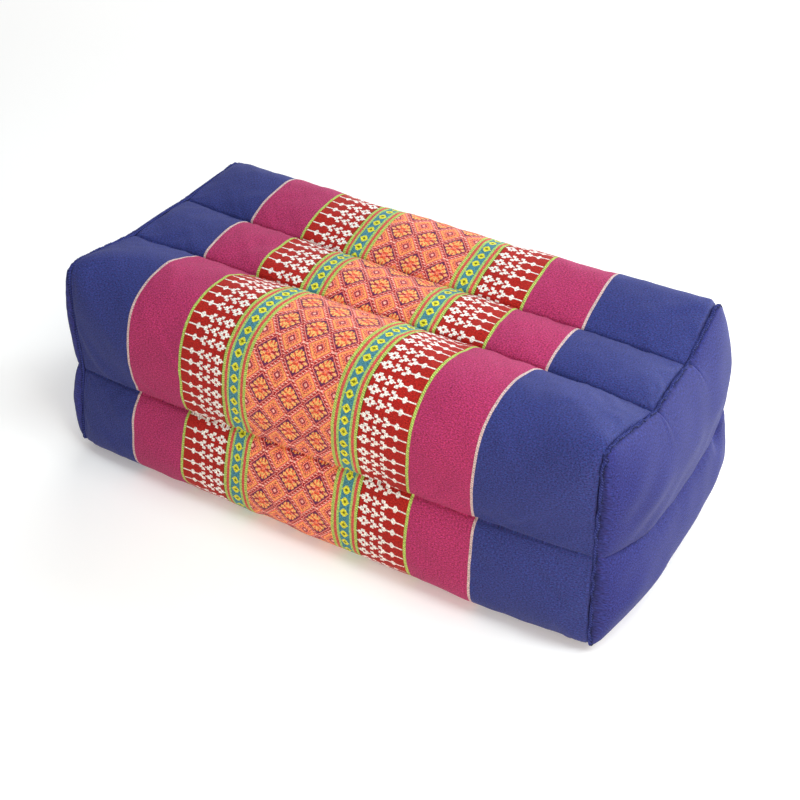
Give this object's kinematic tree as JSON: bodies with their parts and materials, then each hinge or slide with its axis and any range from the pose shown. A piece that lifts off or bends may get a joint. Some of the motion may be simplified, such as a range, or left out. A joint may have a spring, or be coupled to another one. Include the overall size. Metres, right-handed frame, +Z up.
{
  "type": "meditation cushion",
  "caption": "Firm rectangular block cushion for sitting in meditation, with long sewn channels in layers, plain domed ends and a banded woven wrap.",
  "frame": {"origin": "middle of the overall box on the underside, where the cushion rests on the floor", "axes": "+X along the length, towards the end that the picture shows nearest; -Y towards the long side that it shows; +Z up"},
  "size_m": [0.3574, 0.1794, 0.1265],
  "materials": {
    "woven_wrap": "matte woven cotton in banded colours",
    "plain_end_cloth": "matte plain weave cotton",
    "overlock_thread": "matte thread"
  },
  "bodies": {
    "root": {"cushion_body": "woven_wrap", "end_panel_left": "plain_end_cloth", "end_panel_right": "plain_end_cloth", "seam_edge_left": "overlock_thread", "seam_edge_right": "overlock_thread"}
  },
  "joints": []
}
